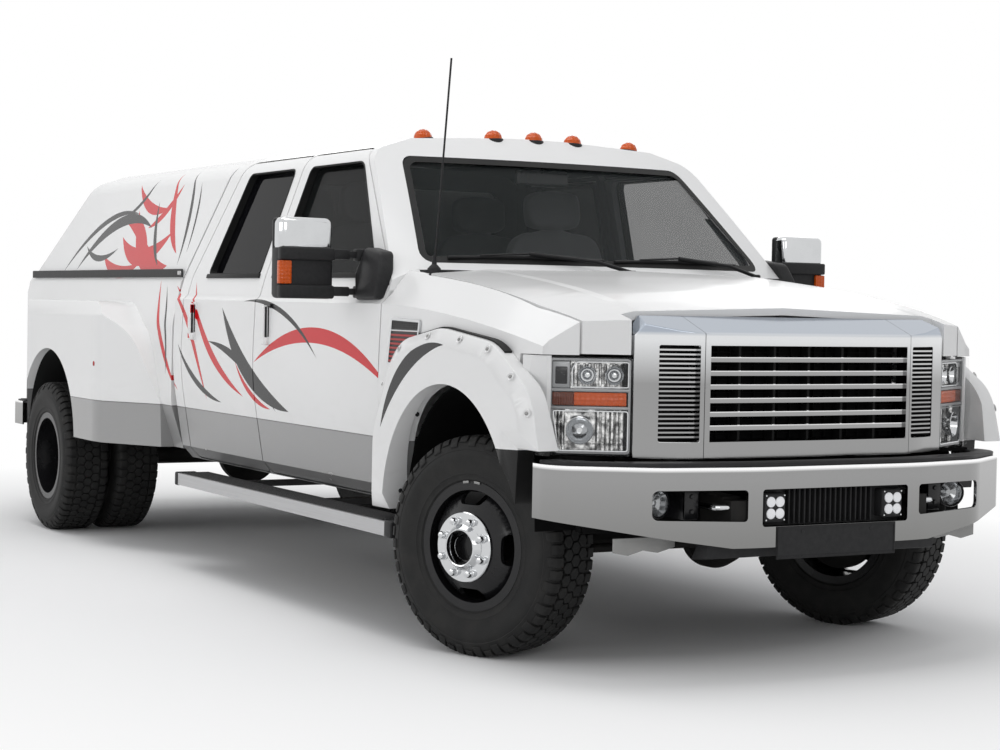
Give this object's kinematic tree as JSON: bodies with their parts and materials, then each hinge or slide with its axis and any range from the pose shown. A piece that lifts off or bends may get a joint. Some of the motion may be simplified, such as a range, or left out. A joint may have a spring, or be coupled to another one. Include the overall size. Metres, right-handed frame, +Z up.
{
  "type": "crew-cab pickup truck with twin rear wheels and bed canopy",
  "caption": "Full-size crew-cab pickup with twin rear wheels, moulded bed canopy, bright grille and bumper, bolted arch flares, tow mirrors and running boards; doors, hatches, steering and wheels move.",
  "frame": {"origin": "on the ground under the middle of the overall length and width", "axes": "+X forward, +Y to the vehicle's left, +Z up"},
  "size_m": [6.63, 2.678, 2.2255],
  "materials": {
    "white_paint": "gloss",
    "chrome": "polished",
    "window_glass": "gloss",
    "lamp_lens": "gloss",
    "amber_lens": "gloss",
    "tyre_rubber": "matte",
    "black_steel": "satin",
    "cast_iron": "rough",
    "exhaust_steel": "dull",
    "black_plastic": "matte",
    "board_aluminium": "satin",
    "seat_fabric": "matte"
  },
  "bodies": {
    "chassis": {"antenna": "black_plastic", "bed": "white_paint", "cab_shell": "white_paint", "canopy": "white_paint", "canopy_trim": "black_plastic", "cowl": "black_plastic", "cross_members": "black_steel", "dashboard": "black_plastic", "engine": "cast_iron", "exhaust": "exhaust_steel", "fender_flares": "white_paint", "frame_rails": "black_steel", "front_axle": "black_steel", "front_bumper": "chrome", "front_fenders": "white_paint", "front_springs": "black_steel", "fuel_tank": "black_steel", "gearbox": "cast_iron", "grille_bars": "chrome", "grille_surround": "chrome", "head_lamps": "lamp_lens", "plate": "black_plastic", "prop_shafts": "black_steel", "radiator": "black_plastic", "rear_axle": "black_steel", "rear_bumper": "chrome", "rear_springs": "black_steel", "roof_lamps": "amber_lens", "running_boards": "board_aluminium", "screens": "window_glass", "seats": "seat_fabric", "steering_wheel": "black_plastic"},
    "door_front_left": {"door_front_left": "white_paint", "door_glass_front_left": "window_glass", "mirror_left": "black_plastic"},
    "door_rear_left": {"door_rear_left": "white_paint", "door_glass_rear_left": "window_glass"},
    "knuckle_left": {"knuckle_left": "black_steel"},
    "wheel_front_left": {"tyre_front_left": "tyre_rubber", "rim_front_left": "black_steel"},
    "wheel_rear_left": {"tyres_rear_left": "tyre_rubber", "rims_rear_left": "black_steel"},
    "door_front_right": {"door_front_right": "white_paint", "door_glass_front_right": "window_glass", "mirror_right": "black_plastic"},
    "door_rear_right": {"door_rear_right": "white_paint", "door_glass_rear_right": "window_glass"},
    "knuckle_right": {"knuckle_right": "black_steel"},
    "wheel_front_right": {"tyre_front_right": "tyre_rubber", "rim_front_right": "black_steel"},
    "wheel_rear_right": {"tyres_rear_right": "tyre_rubber", "rims_rear_right": "black_steel"},
    "tie_rod": {"tie_rod": "black_steel"},
    "hood": {"hood": "white_paint"},
    "tailgate": {"tailgate": "white_paint"},
    "canopy_hatch": {"canopy_hatch": "white_paint"}
  },
  "joints": [
    {"name": "steer_left", "type": "hinge", "parent": "chassis", "child": "knuckle_left", "pos_m": [2.35, 0.75, 0.402], "axis": [0, 0, 1], "range_deg": [-56, 16]},
    {"name": "roll_front_left", "type": "hinge", "parent": "knuckle_left", "child": "wheel_front_left", "pos_m": [2.30947, 0.86135, 0.402], "axis": [-0.342, 0.9397, 0], "continuous": true},
    {"name": "roll_rear_left", "type": "hinge", "parent": "chassis", "child": "wheel_rear_left", "pos_m": [-2.029, 0.94, 0.402], "axis": [0, 1, 0], "continuous": true},
    {"name": "open_door_front_left", "type": "hinge", "parent": "chassis", "child": "door_front_left", "pos_m": [1.735, 1.018, 0.9], "axis": [0, 0, 1], "range_deg": [-68, 0]},
    {"name": "open_door_rear_left", "type": "hinge", "parent": "chassis", "child": "door_rear_left", "pos_m": [0.483, 1.018, 0.9], "axis": [0, 0, 1], "range_deg": [-68, 0]},
    {"name": "steer_right", "type": "hinge", "parent": "chassis", "child": "knuckle_right", "pos_m": [2.35, -0.75, 0.402], "axis": [0, 0, 1], "range_deg": [-56, 16]},
    {"name": "roll_front_right", "type": "hinge", "parent": "knuckle_right", "child": "wheel_front_right", "pos_m": [2.39053, -0.86135, 0.402], "axis": [-0.342, 0.9397, 0], "continuous": true},
    {"name": "roll_rear_right", "type": "hinge", "parent": "chassis", "child": "wheel_rear_right", "pos_m": [-2.029, -0.94, 0.402], "axis": [0, 1, 0], "continuous": true},
    {"name": "open_door_front_right", "type": "hinge", "parent": "chassis", "child": "door_front_right", "pos_m": [1.735, -1.018, 0.9], "axis": [0, 0, 1], "range_deg": [0, 68]},
    {"name": "open_door_rear_right", "type": "hinge", "parent": "chassis", "child": "door_rear_right", "pos_m": [0.483, -1.018, 0.9], "axis": [0, 0, 1], "range_deg": [0, 68]},
    {"name": "tie_rod_pivot", "type": "hinge", "parent": "knuckle_right", "child": "tie_rod", "pos_m": [2.49095, -0.6987, 0.382], "axis": [0, 0, 1], "range_deg": [-16, 56]},
    {"name": "open_hood", "type": "hinge", "parent": "chassis", "child": "hood", "pos_m": [1.89, 0, 1.408], "axis": [0, 1, 0], "range_deg": [-50, 0]},
    {"name": "drop_tailgate", "type": "hinge", "parent": "chassis", "child": "tailgate", "pos_m": [-3.105, 0, 0.722], "axis": [0, 1, 0], "range_deg": [-90, 0]},
    {"name": "lift_canopy_hatch", "type": "hinge", "parent": "chassis", "child": "canopy_hatch", "pos_m": [-2.51158, 0, 1.858], "axis": [0, 1, 0], "range_deg": [0, 70]}
  ],
  "couplings": [
    {"joint": "steer_left", "follows": "steer_right", "ratio": 1},
    {"joint": "tie_rod_pivot", "follows": "steer_right", "ratio": -1}
  ]
}
